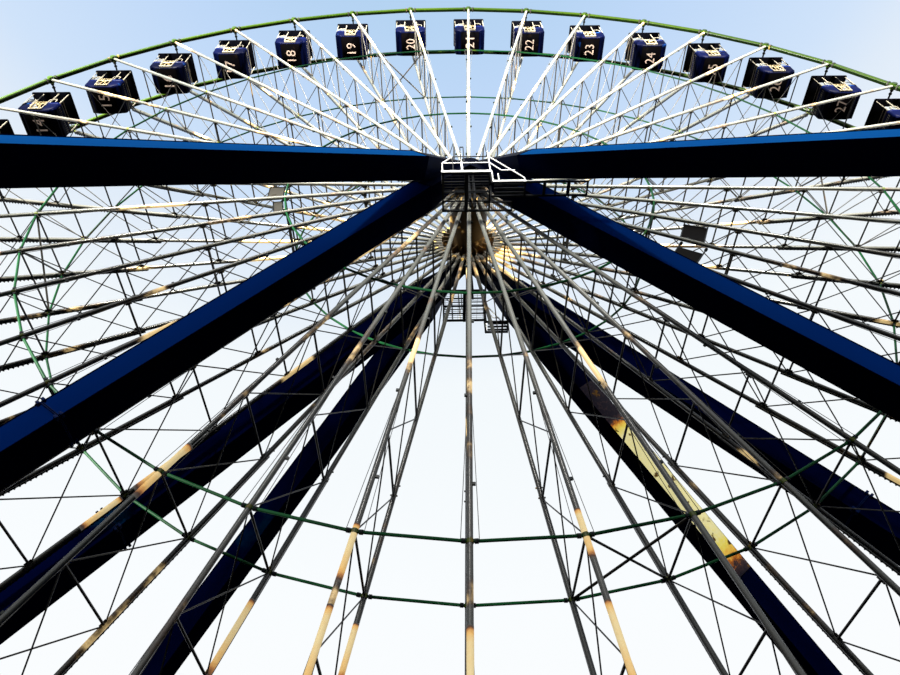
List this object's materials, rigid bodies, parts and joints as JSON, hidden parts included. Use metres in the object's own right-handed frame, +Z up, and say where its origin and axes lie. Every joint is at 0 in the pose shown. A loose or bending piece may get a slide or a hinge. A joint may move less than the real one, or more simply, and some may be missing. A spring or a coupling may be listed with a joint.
{
  "type": "ferris wheel, 1:2 scale model",
  "caption": "Half-scale open-frame ferris wheel on splayed box legs; its spoked faces turn about a hub and carry open cabins that hang level.",
  "frame": {"origin": "on the ground, below the hub, midway between the two faces of the wheel", "axes": "+Z up, +X to the right as seen from the front, +Y to the back along the hub's axle"},
  "size_m": [23.386, 15.8, 24.1174],
  "materials": {
    "painted_blue": "gloss paint, weathered",
    "dark_iron": "galvanised grating and dark paint",
    "painted_green": "gloss paint",
    "hub_brown": "greasy dark paint",
    "cabin_navy": "gloss"
  },
  "bodies": {
    "base": {"bearing_head_front": "painted_blue", "bearing_head_back": "painted_blue", "platform_front": "dark_iron", "platform_back": "dark_iron", "tie_beam_front": "painted_blue", "tie_beam_back": "painted_blue", "a_leg_front_left": "painted_blue", "a_leg_front_right": "painted_blue", "a_leg_back_left": "painted_blue", "a_leg_back_right": "painted_blue", "outrigger_front_left": "painted_blue", "outrigger_front_right": "painted_blue", "outrigger_back_left": "painted_blue", "outrigger_back_right": "painted_blue", "side_beam_left": "painted_blue", "side_beam_right": "painted_blue"},
    "wheel": {"hub_drum": "hub_brown", "wheel_face_front": "painted_green", "wheel_face_back": "painted_green"},
    "cabin_01": {"cabin_01": "cabin_navy"},
    "cabin_02": {"cabin_02": "cabin_navy"},
    "cabin_03": {"cabin_03": "cabin_navy"},
    "cabin_04": {"cabin_04": "cabin_navy"},
    "cabin_05": {"cabin_05": "cabin_navy"},
    "cabin_06": {"cabin_06": "cabin_navy"},
    "cabin_07": {"cabin_07": "cabin_navy"},
    "cabin_08": {"cabin_08": "cabin_navy"},
    "cabin_09": {"cabin_09": "cabin_navy"},
    "cabin_10": {"cabin_10": "cabin_navy"},
    "cabin_11": {"cabin_11": "cabin_navy"},
    "cabin_12": {"cabin_12": "cabin_navy"},
    "cabin_13": {"cabin_13": "cabin_navy"},
    "cabin_14": {"cabin_14": "cabin_navy"},
    "cabin_15": {"cabin_15": "cabin_navy"},
    "cabin_16": {"cabin_16": "cabin_navy"},
    "cabin_17": {"cabin_17": "cabin_navy"},
    "cabin_18": {"cabin_18": "cabin_navy"},
    "cabin_19": {"cabin_19": "cabin_navy"},
    "cabin_20": {"cabin_20": "cabin_navy"},
    "cabin_21": {"cabin_21": "cabin_navy"},
    "cabin_22": {"cabin_22": "cabin_navy"},
    "cabin_23": {"cabin_23": "cabin_navy"},
    "cabin_24": {"cabin_24": "cabin_navy"},
    "cabin_25": {"cabin_25": "cabin_navy"},
    "cabin_26": {"cabin_26": "cabin_navy"},
    "cabin_27": {"cabin_27": "cabin_navy"},
    "cabin_28": {"cabin_28": "cabin_navy"},
    "cabin_29": {"cabin_29": "cabin_navy"},
    "cabin_30": {"cabin_30": "cabin_navy"},
    "cabin_31": {"cabin_31": "cabin_navy"},
    "cabin_32": {"cabin_32": "cabin_navy"},
    "cabin_33": {"cabin_33": "cabin_navy"},
    "cabin_34": {"cabin_34": "cabin_navy"},
    "cabin_35": {"cabin_35": "cabin_navy"},
    "cabin_36": {"cabin_36": "cabin_navy"},
    "cabin_37": {"cabin_37": "cabin_navy"},
    "cabin_38": {"cabin_38": "cabin_navy"},
    "cabin_39": {"cabin_39": "cabin_navy"},
    "cabin_40": {"cabin_40": "cabin_navy"}
  },
  "joints": [
    {"name": "wheel_spin", "type": "hinge", "parent": "base", "child": "wheel", "pos_m": [0, 0, 12.825], "axis": [0, 1, 0], "continuous": true},
    {"name": "cabin_01_hang", "type": "hinge", "parent": "wheel", "child": "cabin_01", "pos_m": [-0.52995, 0, 1.58749], "axis": [0, 1, 0], "continuous": true},
    {"name": "cabin_02_hang", "type": "hinge", "parent": "wheel", "child": "cabin_02", "pos_m": [-2.28136, 0, 1.80874], "axis": [0, 1, 0], "continuous": true},
    {"name": "cabin_03_hang", "type": "hinge", "parent": "wheel", "child": "cabin_03", "pos_m": [-3.97659, 0, 2.30125], "axis": [0, 1, 0], "continuous": true},
    {"name": "cabin_04_hang", "type": "hinge", "parent": "wheel", "child": "cabin_04", "pos_m": [-5.57391, 0, 3.0529], "axis": [0, 1, 0], "continuous": true},
    {"name": "cabin_05_hang", "type": "hinge", "parent": "wheel", "child": "cabin_05", "pos_m": [-7.03398, 0, 4.04516], "axis": [0, 1, 0], "continuous": true},
    {"name": "cabin_06_hang", "type": "hinge", "parent": "wheel", "child": "cabin_06", "pos_m": [-8.32085, 0, 5.25361], "axis": [0, 1, 0], "continuous": true},
    {"name": "cabin_07_hang", "type": "hinge", "parent": "wheel", "child": "cabin_07", "pos_m": [-9.40283, 0, 6.64849], "axis": [0, 1, 0], "continuous": true},
    {"name": "cabin_08_hang", "type": "hinge", "parent": "wheel", "child": "cabin_08", "pos_m": [-10.25329, 0, 8.19546], "axis": [0, 1, 0], "continuous": true},
    {"name": "cabin_09_hang", "type": "hinge", "parent": "wheel", "child": "cabin_09", "pos_m": [-10.85127, 0, 9.85643], "axis": [0, 1, 0], "continuous": true},
    {"name": "cabin_10_hang", "type": "hinge", "parent": "wheel", "child": "cabin_10", "pos_m": [-11.18206, 0, 11.59049], "axis": [0, 1, 0], "continuous": true},
    {"name": "cabin_11_hang", "type": "hinge", "parent": "wheel", "child": "cabin_11", "pos_m": [-11.23751, 0, 13.35495], "axis": [0, 1, 0], "continuous": true},
    {"name": "cabin_12_hang", "type": "hinge", "parent": "wheel", "child": "cabin_12", "pos_m": [-11.01626, 0, 15.10636], "axis": [0, 1, 0], "continuous": true},
    {"name": "cabin_13_hang", "type": "hinge", "parent": "wheel", "child": "cabin_13", "pos_m": [-10.52375, 0, 16.80159], "axis": [0, 1, 0], "continuous": true},
    {"name": "cabin_14_hang", "type": "hinge", "parent": "wheel", "child": "cabin_14", "pos_m": [-9.7721, 0, 18.39891], "axis": [0, 1, 0], "continuous": true},
    {"name": "cabin_15_hang", "type": "hinge", "parent": "wheel", "child": "cabin_15", "pos_m": [-8.77984, 0, 19.85898], "axis": [0, 1, 0], "continuous": true},
    {"name": "cabin_16_hang", "type": "hinge", "parent": "wheel", "child": "cabin_16", "pos_m": [-7.57139, 0, 21.14585], "axis": [0, 1, 0], "continuous": true},
    {"name": "cabin_17_hang", "type": "hinge", "parent": "wheel", "child": "cabin_17", "pos_m": [-6.17651, 0, 22.22783], "axis": [0, 1, 0], "continuous": true},
    {"name": "cabin_18_hang", "type": "hinge", "parent": "wheel", "child": "cabin_18", "pos_m": [-4.62954, 0, 23.07829], "axis": [0, 1, 0], "continuous": true},
    {"name": "cabin_19_hang", "type": "hinge", "parent": "wheel", "child": "cabin_19", "pos_m": [-2.96857, 0, 23.67627], "axis": [0, 1, 0], "continuous": true},
    {"name": "cabin_20_hang", "type": "hinge", "parent": "wheel", "child": "cabin_20", "pos_m": [-1.23451, 0, 24.00706], "axis": [0, 1, 0], "continuous": true},
    {"name": "cabin_21_hang", "type": "hinge", "parent": "wheel", "child": "cabin_21", "pos_m": [0.52995, 0, 24.06251], "axis": [0, 1, 0], "continuous": true},
    {"name": "cabin_22_hang", "type": "hinge", "parent": "wheel", "child": "cabin_22", "pos_m": [2.28136, 0, 23.84126], "axis": [0, 1, 0], "continuous": true},
    {"name": "cabin_23_hang", "type": "hinge", "parent": "wheel", "child": "cabin_23", "pos_m": [3.97659, 0, 23.34875], "axis": [0, 1, 0], "continuous": true},
    {"name": "cabin_24_hang", "type": "hinge", "parent": "wheel", "child": "cabin_24", "pos_m": [5.57391, 0, 22.5971], "axis": [0, 1, 0], "continuous": true},
    {"name": "cabin_25_hang", "type": "hinge", "parent": "wheel", "child": "cabin_25", "pos_m": [7.03398, 0, 21.60484], "axis": [0, 1, 0], "continuous": true},
    {"name": "cabin_26_hang", "type": "hinge", "parent": "wheel", "child": "cabin_26", "pos_m": [8.32085, 0, 20.39639], "axis": [0, 1, 0], "continuous": true},
    {"name": "cabin_27_hang", "type": "hinge", "parent": "wheel", "child": "cabin_27", "pos_m": [9.40283, 0, 19.00151], "axis": [0, 1, 0], "continuous": true},
    {"name": "cabin_28_hang", "type": "hinge", "parent": "wheel", "child": "cabin_28", "pos_m": [10.25329, 0, 17.45454], "axis": [0, 1, 0], "continuous": true},
    {"name": "cabin_29_hang", "type": "hinge", "parent": "wheel", "child": "cabin_29", "pos_m": [10.85127, 0, 15.79357], "axis": [0, 1, 0], "continuous": true},
    {"name": "cabin_30_hang", "type": "hinge", "parent": "wheel", "child": "cabin_30", "pos_m": [11.18206, 0, 14.05951], "axis": [0, 1, 0], "continuous": true},
    {"name": "cabin_31_hang", "type": "hinge", "parent": "wheel", "child": "cabin_31", "pos_m": [11.23751, 0, 12.29505], "axis": [0, 1, 0], "continuous": true},
    {"name": "cabin_32_hang", "type": "hinge", "parent": "wheel", "child": "cabin_32", "pos_m": [11.01626, 0, 10.54364], "axis": [0, 1, 0], "continuous": true},
    {"name": "cabin_33_hang", "type": "hinge", "parent": "wheel", "child": "cabin_33", "pos_m": [10.52375, 0, 8.84841], "axis": [0, 1, 0], "continuous": true},
    {"name": "cabin_34_hang", "type": "hinge", "parent": "wheel", "child": "cabin_34", "pos_m": [9.7721, 0, 7.25109], "axis": [0, 1, 0], "continuous": true},
    {"name": "cabin_35_hang", "type": "hinge", "parent": "wheel", "child": "cabin_35", "pos_m": [8.77984, 0, 5.79102], "axis": [0, 1, 0], "continuous": true},
    {"name": "cabin_36_hang", "type": "hinge", "parent": "wheel", "child": "cabin_36", "pos_m": [7.57139, 0, 4.50415], "axis": [0, 1, 0], "continuous": true},
    {"name": "cabin_37_hang", "type": "hinge", "parent": "wheel", "child": "cabin_37", "pos_m": [6.17651, 0, 3.42217], "axis": [0, 1, 0], "continuous": true},
    {"name": "cabin_38_hang", "type": "hinge", "parent": "wheel", "child": "cabin_38", "pos_m": [4.62954, 0, 2.57171], "axis": [0, 1, 0], "continuous": true},
    {"name": "cabin_39_hang", "type": "hinge", "parent": "wheel", "child": "cabin_39", "pos_m": [2.96857, 0, 1.97373], "axis": [0, 1, 0], "continuous": true},
    {"name": "cabin_40_hang", "type": "hinge", "parent": "wheel", "child": "cabin_40", "pos_m": [1.23451, 0, 1.64294], "axis": [0, 1, 0], "continuous": true}
  ],
  "couplings": [
    {"joint": "cabin_01_hang", "follows": "wheel_spin", "ratio": -1},
    {"joint": "cabin_02_hang", "follows": "wheel_spin", "ratio": -1},
    {"joint": "cabin_03_hang", "follows": "wheel_spin", "ratio": -1},
    {"joint": "cabin_04_hang", "follows": "wheel_spin", "ratio": -1},
    {"joint": "cabin_05_hang", "follows": "wheel_spin", "ratio": -1},
    {"joint": "cabin_06_hang", "follows": "wheel_spin", "ratio": -1},
    {"joint": "cabin_07_hang", "follows": "wheel_spin", "ratio": -1},
    {"joint": "cabin_08_hang", "follows": "wheel_spin", "ratio": -1},
    {"joint": "cabin_09_hang", "follows": "wheel_spin", "ratio": -1},
    {"joint": "cabin_10_hang", "follows": "wheel_spin", "ratio": -1},
    {"joint": "cabin_11_hang", "follows": "wheel_spin", "ratio": -1},
    {"joint": "cabin_12_hang", "follows": "wheel_spin", "ratio": -1},
    {"joint": "cabin_13_hang", "follows": "wheel_spin", "ratio": -1},
    {"joint": "cabin_14_hang", "follows": "wheel_spin", "ratio": -1},
    {"joint": "cabin_15_hang", "follows": "wheel_spin", "ratio": -1},
    {"joint": "cabin_16_hang", "follows": "wheel_spin", "ratio": -1},
    {"joint": "cabin_17_hang", "follows": "wheel_spin", "ratio": -1},
    {"joint": "cabin_18_hang", "follows": "wheel_spin", "ratio": -1},
    {"joint": "cabin_19_hang", "follows": "wheel_spin", "ratio": -1},
    {"joint": "cabin_20_hang", "follows": "wheel_spin", "ratio": -1},
    {"joint": "cabin_21_hang", "follows": "wheel_spin", "ratio": -1},
    {"joint": "cabin_22_hang", "follows": "wheel_spin", "ratio": -1},
    {"joint": "cabin_23_hang", "follows": "wheel_spin", "ratio": -1},
    {"joint": "cabin_24_hang", "follows": "wheel_spin", "ratio": -1},
    {"joint": "cabin_25_hang", "follows": "wheel_spin", "ratio": -1},
    {"joint": "cabin_26_hang", "follows": "wheel_spin", "ratio": -1},
    {"joint": "cabin_27_hang", "follows": "wheel_spin", "ratio": -1},
    {"joint": "cabin_28_hang", "follows": "wheel_spin", "ratio": -1},
    {"joint": "cabin_29_hang", "follows": "wheel_spin", "ratio": -1},
    {"joint": "cabin_30_hang", "follows": "wheel_spin", "ratio": -1},
    {"joint": "cabin_31_hang", "follows": "wheel_spin", "ratio": -1},
    {"joint": "cabin_32_hang", "follows": "wheel_spin", "ratio": -1},
    {"joint": "cabin_33_hang", "follows": "wheel_spin", "ratio": -1},
    {"joint": "cabin_34_hang", "follows": "wheel_spin", "ratio": -1},
    {"joint": "cabin_35_hang", "follows": "wheel_spin", "ratio": -1},
    {"joint": "cabin_36_hang", "follows": "wheel_spin", "ratio": -1},
    {"joint": "cabin_37_hang", "follows": "wheel_spin", "ratio": -1},
    {"joint": "cabin_38_hang", "follows": "wheel_spin", "ratio": -1},
    {"joint": "cabin_39_hang", "follows": "wheel_spin", "ratio": -1},
    {"joint": "cabin_40_hang", "follows": "wheel_spin", "ratio": -1}
  ]
}
